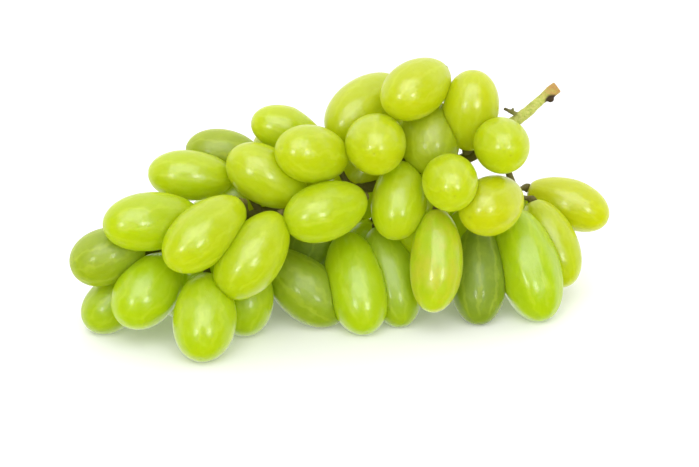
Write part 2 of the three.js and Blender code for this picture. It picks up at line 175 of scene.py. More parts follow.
class Berry:
    """A berry, or a stretch of the rachis, which has a thickness and stays where it is."""

    def __init__(self, centre, axis, length, width=0.0, thickness=0.0, mobility=0.0):
        self.name = ""
        self.centre = centre
        self.axis = axis
        self.length = length
        self.width = width
        self.thickness = thickness
        self.mobility = mobility
        self.track = None
        self.on_surface = False
        self.core_half = length / 2 if thickness else (length**2 - width**2) / (2 * length)


def unit(vector):
    return vector / np.linalg.norm(vector)


def sightline(column, row):
    across = (column - FRAME_CENTRE[0]) / FOCAL_PIXELS
    upward = (FRAME_CENTRE[1] - row) / FOCAL_PIXELS
    return AWAY + across * RIGHT + upward * UP


def point_at_depth(column, row, depth):
    ray = sightline(column, row)
    return EYE + ray * (depth - EYE[1]) / ray[1]


def point_at_height(column, row, height):
    ray = sightline(column, row)
    return EYE + ray * (height - EYE[2]) / ray[2]


def axis_in_picture(turn, lean):
    angle = math.radians(turn)
    out = math.radians(lean)
    flat = math.cos(angle) * RIGHT + math.sin(angle) * UP
    return unit(math.cos(out) * flat - math.sin(out) * AWAY)


def resting_height(axis, length, width):
    """Height of a berry's centre when it is pressed on the surface."""
    along = axis[2] * length / 2
    across = math.sqrt(1 - axis[2] ** 2) * width / 2
    return math.hypot(along, across) - PRESSED_INTO_SURFACE


SEED = 20261
DRAW_FACTOR = 16807
DRAW_LIMIT = 2147483647


class Draw:
    """Repeatable random draws between two limits."""

    def __init__(self, seed):
        self.state = seed

    def __call__(self, low, high):
        self.state = (self.state * DRAW_FACTOR) % DRAW_LIMIT
        return low + (high - low) * self.state / DRAW_LIMIT


rachis_points = np.array([point_at_depth(*row[:3]) for row in RACHIS])
branching_starts = rachis_points[FIRST_BRANCHING:-1]
branching_steps = np.diff(rachis_points[FIRST_BRANCHING:], axis=0)
branching_spans = np.linalg.norm(branching_steps, axis=1)
branching_travelled = np.concatenate([[0], np.cumsum(branching_spans)[:-1]])


def nearest_on_rachis(point):
    """Distance, nearest point, way to the tip of the bunch and way travelled along the rachis."""
    along = np.sum((point - branching_starts) * branching_steps, axis=1) / branching_spans**2
    shares = np.clip(along, 0, 1)
    feet = branching_starts + shares[:, None] * branching_steps
    distances = np.linalg.norm(feet - point, axis=1)
    k = int(np.argmin(distances))
    travelled = branching_travelled[k] + shares[k] * branching_spans[k]
    return distances[k], feet[k], branching_steps[k] / branching_spans[k], travelled


def rachis_at(distance):
    k = int(np.searchsorted(branching_travelled, distance, side="right")) - 1
    share = min(1, (distance - branching_travelled[k]) / branching_spans[k])
    return branching_starts[k] + share * branching_steps[k]


def seen_berries():
    berries = []
    for name, (column, row, depth, turn, lean, length, width) in SEEN_BERRIES.items():
        axis = axis_in_picture(turn, lean)
        on_surface = depth is SURFACE
        if on_surface:
            centre = point_at_height(column, row, resting_height(axis, length, width))
        else:
            centre = point_at_depth(column, row, depth)
        berry = Berry(centre, axis, length, width, mobility=0 if on_surface else SEEN_MOBILITY)
        berry.name = name
        berry.track = unit(centre - EYE)
        berry.on_surface = on_surface
        berries.append(berry)
    return berries


def hidden_berries(draw):
    """A hidden berry points away from the rachis and leans toward the tip of the bunch."""
    berries = []
    for on_surface, first, last, count in HIDDEN_ROWS:
        for k in range(count):
            share = k / (count - 1)
            centre = np.array(
                [a + (b - a) * share + draw(-ROW_JITTER, ROW_JITTER) for a, b in zip(first, last)]
            )
            _, foot, tipward, _ = nearest_on_rachis(centre)
            axis = unit(unit(centre - foot) + TIPWARD_LEAN * tipward)
            length = draw(*HIDDEN_LENGTH)
            width = length * draw(*HIDDEN_SLENDERNESS)
            lowest = resting_height(axis, length, width)
            centre[2] = lowest if on_surface else max(centre[2], lowest)
            berry = Berry(centre, axis, length, width, mobility=1)
            berry.name = f"hidden_{len(berries)}"
            berry.on_surface = on_surface
            berries.append(berry)
    return berries


def ball_radius(berry, along):
    """A berry is filled by balls centred on its core line, which shrink toward its ends."""
    reach = (berry.length**2 - berry.width**2) / 4
    return berry.width / 2 * math.sqrt(max(0, 1 - along**2 / reach))


def closest_on_cores(a, b):
    """Way between the closest balls of two berries, or of a berry and a stretch, and their reach."""
    offset = a.centre - b.centre
    parallel = a.axis @ b.axis
    along_a = a.axis @ offset
    along_b = b.axis @ offset
    spread = 1 - parallel * parallel
    s = (parallel * along_b - along_a) / spread if spread > LEAST_DISTANCE else 0
    s = min(max(s, -a.core_half), a.core_half)
    t = min(max(parallel * s + along_b, -b.core_half), b.core_half)
    s = min(max(parallel * t - along_a, -a.core_half), a.core_half)
    apart = a.centre + s * a.axis - b.centre - t * b.axis
    if b.thickness:
        return apart, ball_radius(a, s) + b.thickness
    return apart, PRESSED_TO * (ball_radius(a, s) + ball_radius(b, t))


def nudge(berry, move):
    """A seen berry only moves along its sightline; no berry sinks into the surface or leaves it."""
    seen = berry.track is not None
    berry.centre = berry.centre + (berry.track * (move @ berry.track) if seen else move)
    short = resting_height(berry.axis, berry.length, berry.width) - berry.centre[2]
    if seen and short > 0:
        berry.centre = berry.centre + berry.track * short / berry.track[2]
    elif short > 0 or berry.on_surface:
        berry.centre[2] += short


def part_pair(a, b):
    mobility = a.mobility + b.mobility
    if mobility == 0 or math.dist(a.centre, b.centre) > (a.length + b.length) / 2:
        return
    apart, reach = closest_on_cores(a, b)
    distance = np.linalg.norm(apart)
    if distance > reach + (0 if b.thickness else CLINGS_WITHIN) or distance < LEAST_DISTANCE:
        return
    clings = distance > reach and not b.thickness
    apart = apart * ((CLING if clings else PUSH) * (reach - distance) / distance / mobility)
    nudge(a, apart * a.mobility)
    if b.mobility > 0:
        nudge(b, -apart * b.mobility)


def draw_to_rachis(berry):
    """Every berry is drawn in toward the rachis until it meets others or the rachis itself."""
    distance, foot, _, _ = nearest_on_rachis(berry.centre)
    nudge(berry, (foot - berry.centre) * DRAWN_IN * berry.mobility / distance)


def rachis_stretches():
    stretches = []
    for k, step in enumerate(np.diff(rachis_points, axis=0)):
        length = np.linalg.norm(step)
        middle = rachis_points[k] + step / 2
        thickness = RACHIS[k][3] + RACHIS_CLEARANCE
        stretches.append(Berry(middle, step / length, length, thickness=thickness))
    return stretches


def settle(berries):
    stretches = rachis_stretches()
    for _ in range(SETTLING_ROUNDS):
        for i, berry in enumerate(berries):
            draw_to_rachis(berry)
            for other in berries[:i] + stretches:
                part_pair(berry, other)
    return berries


def bend_directions():
    directions = []
    for k in range(BEND_DIRECTIONS):
        height = 1 - (2 * k + 1) / BEND_DIRECTIONS
        level = math.sqrt(1 - height**2)
        turn = k * GOLDEN_ANGLE
        directions.append((level * math.cos(turn), level * math.sin(turn), height))
    return np.array(directions)


def bezier(start, control, end, samples):
    t = np.linspace(0, 1, samples + 1)[:, None]
    return (1 - t) ** 2 * start + 2 * t * (1 - t) * control + t**2 * end


class Crowd:
    """The berries as arrays, to find how deep points lie in them and which points they hide."""

    def __init__(self, berries):
        self.berries = berries
        self.centres = np.array([b.centre for b in berries])
        self.axes = np.array([b.axis for b in berries])
        self.half_lengths = np.array([b.length for b in berries]) / 2
        self.half_widths = np.array([b.width for b in berries]) / 2

    def depth(self, points, own):
        offsets = points[:, None, :] - self.centres
        along = np.sum(offsets * self.axes, axis=2)
        across = np.sqrt(np.maximum(0, np.sum(offsets**2, axis=2) - along**2))
        widened = self.half_widths + BEND_MARGIN
        depths = np.maximum(0, 1 - np.hypot(along / self.half_lengths, across / widened))
        if own is not None:
            depths[:, self.berries.index(own)] = 0
        return depths.sum(axis=1)

    def scaled(self, vectors):
        """Vectors in a space where every berry is a ball of radius 1."""
        along = np.sum(vectors * self.axes, axis=-1, keepdims=True)
        across = (vectors - along * self.axes) / self.half_widths[:, None]
        return across + along * self.axes / self.half_lengths[:, None]

    def shown(self, points):
        """Whether the sightlines to the points cross no berry before they get there."""
        start = self.scaled(EYE - self.centres)
        rays = self.scaled(np.repeat((points - EYE)[:, None, :], len(self.berries), axis=1))
        shares = np.clip(-np.sum(start * rays, axis=2) / np.sum(rays**2, axis=2), 0, 1)
        nearest = np.linalg.norm(start + rays * shares[:, :, None], axis=2)
        return np.all(nearest >= 1, axis=1)


def clear_path(start, end, crowd, own):
    """Path between two points that runs clearest of the berries and is least seen, and its cost."""
    chord = math.dist(start, end)
    reaches = np.repeat(BEND_SHARES, BEND_DIRECTIONS) * chord
    bends = np.tile(bend_directions(), (len(BEND_SHARES), 1)) * reaches[:, None]
    controls = bends + (start + end) / 2
    points = np.concatenate([bezier(start, control, end, PATH_SAMPLES) for control in controls])
    costs = crowd.depth(points, own) + crowd.shown(points) * SHOWN_COST
    costs = costs.reshape(len(controls), -1).sum(axis=1) + reaches * BEND_COST
    best = int(np.argmin(costs))
    return costs[best], (start, controls[best], end)


def branched(root, members, crowd):
    """The fork of a spray lies where its lateral and its pedicels together run clearest."""
    middle = sum(stem_end for _, stem_end in members) / len(members)
    best = None
    for reach in LATERAL_REACHES:
        fork = root + (middle - root) * reach
        paths = [clear_path(root, fork, crowd, None)]
        paths += [clear_path(fork, stem_end, crowd, berry) for berry, stem_end in members]
        cost = sum(path[0] for path in paths)
        if best is None or cost < best[0]:
            best = (cost, [path[1] for path in paths])
    return best[1]


def sprays(berries):
    """Berries grouped by the station of the rachis that feeds them and by their side of it."""
    groups = {}
    for berry in berries:
        stem_end = berry.centre - berry.axis * (berry.length / 2 + PEDICEL_STANDOFF)
        _, foot, tipward, travelled = nearest_on_rachis(stem_end)
        station = max(0, math.floor((travelled - TIPWARD_REACH) / STATION_SPACING + 0.5))
        side = unit(np.cross((0, 0, 1), tipward))
        lift = np.cross(tipward, side)
        outward = stem_end - foot
        angle = math.atan2(outward @ lift, outward @ side) + math.pi / SECTORS
        sector = math.floor(angle / (2 * math.pi) * SECTORS + SECTORS) % SECTORS
        groups.setdefault((station, sector), []).append((berry, stem_end))
    return groups


# Skin of a berry
SIDES = 72
RINGS = 48
FULLNESS_AT_TIP = 0.08
DIMPLE_DEPTH = 0.7
DIMPLE_RADIUS = 1.7
SCAR_DEPTH = 0.22
SCAR_RADIUS = 0.55
CONTACT_GAP = 0.004
CONTACT_STEPS = 24
ALMOST_ROUND = 0.012
WAVINESS = 0.010
LEAST_UNEVEN = 0.3
RIDGES = 7
RIDGE_TWIST = 1.2
GREATEST_BEND = 0.025

# Berries that differ from the rest: how much narrower their stem end is, and how ridged they are
TAPERED = {
    "crown_right": 0.12,
    "ridge_back": 0.30,
    "shoulder_tip": 0.10,
    "hanging_right": 0.06,
    "foot_middle": 0.10,
}
RIDGED = {"hanging_right": 0.020, "hanging_shade": 0.012, "foot_middle": 0.008}

# Berries ripen more yellow at the crown of the bunch than at its foot
CROWN_HEIGHT = 72
RIPE_AT_FOOT = 0.0
RIPE_AT_CROWN = 0.85
RIPENESS_SPREAD = 0.15

# Each berry takes its skin from a place of its own in the pattern, this many millimetres wide
PATTERN_REACH = 500

# How blushed some berries are, how much yellower as painted light, and how dull and darker as painted
# shade
BLUSHED = {"hanging_blush": 0.9, "shoulder_front": 0.05, "face_middle": 0.15, "hidden_9": 0.5}
# Painted light: these berries are made yellower and lighter to stand in for light they catch
YELLOWER_AS_PAINTED_LIGHT = {"shoulder_tip": 0.6, "hanging_far_right": 0.6, "shoulder_front": 0.45}
# Painted shade: berries that lie deep in the bunch or in its gaps get a darker, duller skin, less
# painted glow and a rougher bloom
DULL_AND_SHADED = {
    "hanging_shade": 1.0,
    "foot_middle": 0.7,
    "hanging_inner": 0.4,
    "tip_upper": 0.6,
    "tip_lower": 0.25,
    "ridge_far_left": 0.6,
    "inner_upper": 0.4,
    "foot_left": 0.15,
    "inner_middle": 1.0,
    "hidden_21": 1.0,
    "hidden_2": 0.7,
}


def side_axes(axis):
    """Two axes across a berry's own."""
    helper = np.array([0.0, 0.0, 1.0]) if abs(axis[2]) < 0.9 else RIGHT
    first = unit(np.cross(axis, helper))
    return first, np.cross(axis, first)


def egg_depth(berry, points):
    """0 on the plain egg of a berry, negative inside it and positive outside."""
    offsets = points - berry.centre
    along = offsets @ berry.axis
    across = np.sqrt(np.maximum(0, np.sum(offsets**2, axis=1) - along**2))
    along = along / (berry.length / 2)
    across = across / (berry.width / 2) / (1 + FULLNESS_AT_TIP * np.clip(along, -1, 1))
    return np.hypot(along, across) - 1


def egg_points(berry, draw):
    """Points of a berry's skin in its own axes, in millimetres, before it meets the others."""
    polar = np.linspace(0, math.pi, RINGS + 1)[:, None]
    around = np.linspace(0, 2 * math.pi, SIDES, endpoint=False)[None, :]
    height = -np.cos(polar) + 0 * around
    radius = np.sin(polar) * (1 + FULLNESS_AT_TIP * height)
    radius = radius * (1 - TAPERED.get(berry.name, 0) * np.clip(-height, 0, 1))
    uneven = ALMOST_ROUND * draw(LEAST_UNEVEN, 1) * np.cos(2 * around + draw(0, 2 * math.pi))
    uneven = uneven + WAVINESS * draw(LEAST_UNEVEN, 1) * np.cos(3 * around + draw(0, 2 * math.pi))
    ridged = RIDGED.get(berry.name, 0)
    twisted = RIDGES * around + RIDGE_TWIST * height
    uneven = uneven + ridged * np.cos(twisted + draw(0, 2 * math.pi))
    radius = radius * (1 + uneven) * berry.width / 2
    height = height * berry.length / 2
    bend = draw(-GREATEST_BEND, GREATEST_BEND) * berry.length
    bend = bend * (1 - (2 * height / berry.length) ** 2)
    dimple = np.exp(-((radius / DIMPLE_RADIUS) ** 2)) * (height < 0)
    height = height + DIMPLE_DEPTH * dimple
    scar = np.exp(-((radius / SCAR_RADIUS) ** 2)) * (height > 0)
    height = height - SCAR_DEPTH * scar
    return np.stack([radius * np.cos(around) + bend, radius * np.sin(around), height], axis=2)


def pressed(berry, points, berries):
    """Flat where it meets its neighbours: each point is drawn in to where both are as deep."""
    shares = np.ones(len(points))
    for other in berries:
        if other is berry or math.dist(other.centre, berry.centre) > (other.length + berry.length) / 2:
            continue
        inside = np.nonzero(egg_depth(other, points) < CONTACT_GAP)[0]
        if len(inside) == 0:
            continue
        rays = points[inside] - berry.centre
        low = np.zeros(len(inside))
        high = np.ones(len(inside))
        for _ in range(CONTACT_STEPS):
            middle = (low + high) / 2
            spots = berry.centre + rays * middle[:, None]
            outer = egg_depth(berry, spots) + CONTACT_GAP > egg_depth(other, spots)
            high = np.where(outer, middle, high)
            low = np.where(outer, low, middle)
        shares[inside] = np.minimum(shares[inside], low)
    flat = berry.centre + (points - berry.centre) * shares[:, None]
    flat[:, 2] = np.maximum(flat[:, 2], 0)
    return flat


def grid_faces():
    """Faces of one berry, whose first and last points are its poles."""
    faces = []
    last = (RINGS - 1) * SIDES + 1
    for k in range(SIDES):
        after = (k + 1) % SIDES
        faces.append((0, 1 + after, 1 + k))
        faces.append((last, last - SIDES + k, last - SIDES + after))
        for ring in range(RINGS - 2):
            low = 1 + ring * SIDES
            high = low + SIDES
            faces.append((low + k, low + after, high + after, high + k))
    return faces


def berry_skin(berry, berries, draw):
    """(points in the frame, points in the berry's own axes) of one berry."""
    grid = egg_points(berry, draw)
    own = np.concatenate([grid[:1, 0], grid[1:-1].reshape(-1, 3), grid[-1:, 0]])
    first, second = side_axes(berry.axis)
    placed = berry.centre + own @ np.array([first, second, berry.axis])
    return pressed(berry, placed, berries), own


def to_frame(points):
    """Millimetres from the photograph's aim to metres in the row frame."""
    return (np.asarray(points) - BUNCH_MIDDLE) * MM


def new_object(name, points, faces, material):
    mesh = bpy.data.meshes.new(name)
    mesh.from_pydata(np.asarray(points).tolist(), [], faces)
    mesh.materials.append(material)
    mesh.shade_smooth()
    piece = bpy.data.objects.new(name, mesh)
    bpy.context.scene.collection.objects.link(piece)
    return piece


def paint(piece, name, values):
    """Keeps a number or a vector for each point of a piece, for its material to read."""
    values = np.asarray(values, np.float32)
    kind = "FLOAT" if values.ndim == 1 else "FLOAT_VECTOR"
    layer = piece.data.attributes.new(name, kind, "POINT")
    layer.data.foreach_set("value" if values.ndim == 1 else "vector", values.ravel())


def berry_piece(name, members, berries, material, draw):
    """One piece of the skin: the berries of a part of the bunch."""
    points, spots, offsets, tones, shares, faces = [], [], [], [], [], []
    pattern = grid_faces()
    for berry in members:
        placed, own = berry_skin(berry, berries, draw)
        start = sum(len(block) for block in points)
        faces += [tuple(start + corner for corner in face) for face in pattern]
        points.append(placed)
        spots.append(own)
        offset = [draw(0, PATTERN_REACH) for _ in range(3)]
        ripeness = RIPE_AT_FOOT + (RIPE_AT_CROWN - RIPE_AT_FOOT) * berry.centre[2] / CROWN_HEIGHT
        # Some berries get extra yellowness here as painted light
        ripeness += draw(-RIPENESS_SPREAD, RIPENESS_SPREAD) + YELLOWER_AS_PAINTED_LIGHT.get(berry.name, 0)
        # The third share of the tone is painted shade on berries that lie in shade
        tone = (ripeness, BLUSHED.get(berry.name, 0), DULL_AND_SHADED.get(berry.name, 0))
        offsets.append(np.tile(offset, (len(own), 1)))
        tones.append(np.tile(tone, (len(own), 1)))
        shares.append(own[:, 2] / (berry.length / 2))
    piece = new_object(name, to_frame(np.concatenate(points)), faces, material)
    paint(piece, "spot", np.concatenate(spots))
    paint(piece, "offset", np.concatenate(offsets))
    paint(piece, "tone", np.concatenate(tones))
    paint(piece, "tip_share", np.concatenate(shares))
    return piece


# Form of the stem
RACHIS_SAMPLES = 10
RACHIS_ROUGHNESS = 0.05
LATERAL_RADII = (1.5, 1.15, 1.05, 1.3)
PEDICEL_RADII = (1.15, 0.8, 0.72, 0.72, 0.78, 0.95, 1.75)
RECEPTACLE_DEPTH = 1.0
LATERAL_SAMPLES = 12
LATERAL_ROUGHNESS = 0.06
PEDICEL_SAMPLES = 16
PEDICEL_ROUGHNESS = 0.05
STUB_SAMPLES = 9
STUB_ROUGHNESS = 0.25
LIMB_SIDES = 14
NODE_SWELLING = 1.25
NODE_SHRINKING = 0.05
FORK_RADIUS = 1.35
KNOB_RINGS = 7
KNOB_END_ANGLE = 0.3
STEM_VOXEL = 0.26
STEM_SMOOTHING = 4


def catmull_rom(points, samples):
    """Smooth curve through the points, with even steps between each two."""
    ends = np.concatenate([[2 * points[0] - points[1]], points, [2 * points[-1] - points[-2]]])
    curve = []
    for k in range(len(points) - 1):
        before, start, end, after = ends[k : k + 4]
        leave = (end - before) / 2
        arrive = (after - start) / 2
        for t in np.linspace(0, 1, samples, endpoint=False):
            cubic = 2 * start - 2 * end + leave + arrive
            square = -3 * start + 3 * end - 2 * leave - arrive
            curve.append(start + leave * t + square * t**2 + cubic * t**3)
    return np.array(curve + [points[-1]])


def limb(path, radii, draw, roughness=0.0):
    """(points, faces) of a closed tube along a path, uneven by the roughness."""
    tangents = np.gradient(path, axis=0)
    tangents = tangents / np.linalg.norm(tangents, axis=1)[:, None]
    around = np.linspace(0, 2 * math.pi, LIMB_SIDES, endpoint=False)
    normal = side_axes(tangents[0])[0]
    points = []
    for place, tangent, radius in zip(path, tangents, radii):
        normal = unit(normal - tangent * (normal @ tangent))
        other = np.cross(tangent, normal)
        bumps = np.array([1 + draw(-roughness, roughness) for _ in around])
        ring = np.outer(np.cos(around), normal) + np.outer(np.sin(around), other)
        points.append(place + ring * (radius * bumps)[:, None])
    points = np.concatenate(points + [path[:1], path[-1:]])
    faces = []
    head = len(points) - 2
    for k in range(LIMB_SIDES):
        after = (k + 1) % LIMB_SIDES
        faces.append((head, after, k))
        last = (len(path) - 1) * LIMB_SIDES
        faces.append((head + 1, last + k, last + after))
        for ring in range(len(path) - 1):
            low = ring * LIMB_SIDES
            faces.append((low + k, low + after, low + LIMB_SIDES + after, low + LIMB_SIDES + k))
    return points, faces


def spread_radii(radii, count):
    return np.interp(np.linspace(0, len(radii) - 1, count), np.arange(len(radii)), radii)


def even(low, high):
    """Stands for the random draw where a limb has no unevenness."""
    return 0.0


def ball(centre, radius):
    """(points, faces) of a round knob."""
    angles = np.linspace(KNOB_END_ANGLE, math.pi - KNOB_END_ANGLE, KNOB_RINGS)
    path = centre - np.outer(np.cos(angles), RIGHT) * radius
    return limb(path, radius * np.sin(angles), even)


def stem_limbs(groups, crowd, draw):
    """Every limb of the stem, closed by itself and sunk in what it grows from."""
    curve = catmull_rom(rachis_points, RACHIS_SAMPLES)
    places = np.linspace(0, len(RACHIS) - 1, len(curve))
    radii = np.interp(places, np.arange(len(RACHIS)), [row[3] for row in RACHIS])
    limbs = [limb(curve, radii, draw, RACHIS_ROUGHNESS)]
    for start, end, radii in STUB_PRONGS:
        prong = np.linspace(point_at_depth(*start), point_at_depth(*end), STUB_SAMPLES)
        limbs.append(limb(prong, spread_radii(radii, STUB_SAMPLES), draw, STUB_ROUGHNESS))
    limbs.append(ball(point_at_depth(*KNOT[0]), KNOT[1]))
    for (station, _), members in groups.items():
        root = rachis_at(station * STATION_SPACING)
        lateral, *pedicels = branched(root, members, crowd)
        swelling = NODE_SWELLING * RACHIS[FIRST_BRANCHING][3] * (1 - NODE_SHRINKING * station)
        limbs.append(ball(root, swelling))
        path = bezier(*lateral, LATERAL_SAMPLES)
        limbs.append(limb(path, spread_radii(LATERAL_RADII, len(path)), draw, LATERAL_ROUGHNESS))
        limbs.append(ball(lateral[2], FORK_RADIUS))
        for (berry, _), pedicel in zip(members, pedicels):
            path = bezier(*pedicel, PEDICEL_SAMPLES)
            sunk = path[-1] + berry.axis * RECEPTACLE_DEPTH
            path = np.concatenate([path, [sunk]])
            radii = spread_radii(PEDICEL_RADII, len(path))
            limbs.append(limb(path, radii, draw, PEDICEL_ROUGHNESS))
    return limbs


def fused(limbs, material):
    """One skin round all limbs, smoothed a little."""
    points, faces = [], []
    for limb_points, limb_faces in limbs:
        start = sum(len(block) for block in points)
        faces += [tuple(start + corner for corner in face) for face in limb_faces]
        points.append(limb_points)
    piece = new_object("stem_skin", to_frame(np.concatenate(points)), faces, material)
    remesh = piece.modifiers.new("fuse", "REMESH")
    remesh.mode = "VOXEL"
    remesh.voxel_size = STEM_VOXEL * MM
    smooth = piece.modifiers.new("smooth", "SMOOTH")
    smooth.iterations = STEM_SMOOTHING
    evaluated = piece.evaluated_get(bpy.context.evaluated_depsgraph_get())
    mesh = bpy.data.meshes.new_from_object(evaluated)
    piece.modifiers.clear()
    piece.data = mesh
    mesh.materials.clear()
    mesh.materials.append(material)
    mesh.shade_smooth()
    return piece


def fade(values, start, end):
    """1 up to the start, 0 from the end on, and smooth between them."""
    share = np.clip((end - values) / (end - start), 0, 1)
    return share * share * (3 - 2 * share)


def distance_to_line(points, start, end):
    step = end - start
    share = np.clip((points - start) @ step / (step @ step), 0, 1)
    return np.linalg.norm(points - start - share[:, None] * step, axis=1)


def distance_to_limbs(points, starts, ends):
    """Distance of each point to the nearest of some straight limbs."""
    distances = [distance_to_line(points, start, end) for start, end in zip(starts, ends)]
    return np.min(distances, axis=0)


# Marks on the stem: over what stretch, in millimetres, each one fades out
CUT_FADE = (0.25, 0.6)
CUT_REACH = 6
TAN_FADE = (2.0, 7.5)
KNOT_FADE = (1.8, 2.6)
STUB_FADE = (1.2, 2.0)
BARK_FADE = (1.6, 2.6)
PEDUNCLE_FADE = (3, 8)
PEDUNCLE_STRETCHES = 3

# Strength of the marks of the dried stub, and of the stem inside the bunch, which is painted darker:
# partly browner bark, partly painted shade
STUB_DRYNESS = 0.65
INNER_BROWN_AND_SHADE = 0.92


def paint_stem(piece):
    """Marks where the stem is freshly cut, tanned, dried, or inside the bunch, where it is painted
    darker, partly browner and partly painted shade.
    """
    points = np.array([vertex.co for vertex in piece.data.vertices]) / MM + BUNCH_MIDDLE
    outward = unit(rachis_points[0] - rachis_points[1])
    before_cut = (rachis_points[0] - points) @ outward
    near_end = np.linalg.norm(points - rachis_points[0], axis=1)
    knot = fade(np.linalg.norm(points - point_at_depth(*KNOT[0]), axis=1), *KNOT_FADE)
    prong_starts = [point_at_depth(*start) for start, _, _ in STUB_PRONGS]
    prong_ends = [point_at_depth(*end) for _, end, _ in STUB_PRONGS]
    stub = fade(distance_to_limbs(points, prong_starts, prong_ends), *STUB_FADE)
    stub = stub * (1 - fade(distance_to_limbs(points, rachis_points, rachis_points[1:]), *BARK_FADE))
    peduncle_ends = rachis_points[1 : PEDUNCLE_STRETCHES + 1]
    peduncle = fade(distance_to_limbs(points, rachis_points, peduncle_ends), *PEDUNCLE_FADE)
    paint(piece, "cut", fade(before_cut, *CUT_FADE) * (near_end < CUT_REACH))
    paint(piece, "tan", fade(near_end, *TAN_FADE))
    paint(piece, "dried", np.maximum(knot, STUB_DRYNESS * stub))
    # Away from the peduncle the stem is darkened: partly browner bark, partly painted shade
    paint(piece, "inner", INNER_BROWN_AND_SHADE * (1 - peduncle))


class Nodes:
    """A material's node tree, with short calls to add and link nodes."""

    def __init__(self, name="", world=None):
        if world is None:
            self.material = bpy.data.materials.new(name)
            self.material.use_nodes = True
            self.tree = self.material.node_tree
            self.shader = self.tree.nodes["Principled BSDF"]
        else:
            self.tree = world.node_tree

    def add(self, kind, inputs=None, **settings):
        node = self.tree.nodes.new(kind)
        for key, value in settings.items():
            setattr(node, key, value)
        for key, value in (inputs or {}).items():
            self.feed(node.inputs[key], value)
        return node

    def feed(self, socket, value):
        if isinstance(value, bpy.types.NodeSocket):
            self.tree.links.new(value, socket)
        else:
            socket.default_value = value

    def attribute(self, name, output="Vector"):
        return self.add("ShaderNodeAttribute", attribute_name=name).outputs[output]

    def math(self, operation, first, second=0.0, clamp=False):
        inputs = {0: first, 1: second}
        node = self.add("ShaderNodeMath", inputs, operation=operation, use_clamp=clamp)
        return node.outputs[0]

    def vector(self, operation, first, second, output="Vector"):
        node = self.add("ShaderNodeVectorMath", {0: first, 1: second}, operation=operation)
        return node.outputs[output]

    def split(self, vector):
        return self.add("ShaderNodeSeparateXYZ", {0: vector}).outputs

    def noise(self, place, scale, detail=2.0, roughness=0.5):
        inputs = {"Vector": place, "Scale": scale, "Detail": detail, "Roughness": roughness}
        return self.add("ShaderNodeTexNoise", inputs).outputs["Fac"]

    def ramp(self, value, low, high, to_low=0.0, to_high=1.0, smooth=True):
        inputs = {0: value, 1: low, 2: high, 3: to_low, 4: to_high}
        node = self.add("ShaderNodeMapRange", inputs, clamp=True)
        node.interpolation_type = "SMOOTHSTEP" if smooth else "LINEAR"
        return node.outputs[0]

    def mix(self, factor, first, second, blend="MIX"):
        node = self.add("ShaderNodeMix", data_type="RGBA", blend_type=blend)
        self.feed(node.inputs[0], factor)
        self.feed(node.inputs[6], first)
        self.feed(node.inputs[7], second)
        return node.outputs[2]

    def bump(self, height, distance, strength, normal=None):
        inputs = {"Height": height, "Distance": distance, "Strength": strength}
        if normal is not None:
            inputs["Normal"] = normal
        return self.add("ShaderNodeBump", inputs).outputs["Normal"]

    def set(self, **values):
        for key, value in values.items():
            self.feed(self.shader.inputs[key.replace("_", " ")], value)


# Colours of the skin, and its painted glow: the skin emits a faint light of its own that stands in for
# light coming through from the berries around
SKIN_GREEN = (0.335, 0.475, 0.001, 1)
SKIN_YELLOW = (0.435, 0.485, 0.001, 1)
# Painted shade: the darker colour given to berries that lie in shade
SKIN_DULL_SHADED = (0.18, 0.265, 0.003, 1)
SKIN_PALE = (0.60, 0.70, 0.12, 1)
SKIN_VEIN = (0.62, 0.70, 0.08, 1)
SKIN_BLUSH = (0.52, 0.44, 0.05, 1)
SKIN_SPECK = (0.26, 0.22, 0.03, 1)
SCAR_BROWN = (0.10, 0.05, 0.015, 1)
PAINTED_GLOW_GREEN = (0.33, 0.51, 0.0, 1)
PAINTED_GLOW_YELLOW = (0.44, 0.50, 0.0, 1)
PAINTED_GLOW_IN_SHADE = (0.12, 0.19, 0.0, 1)
PAINTED_GLOW_STRENGTH = 0.17
VEINS = 9


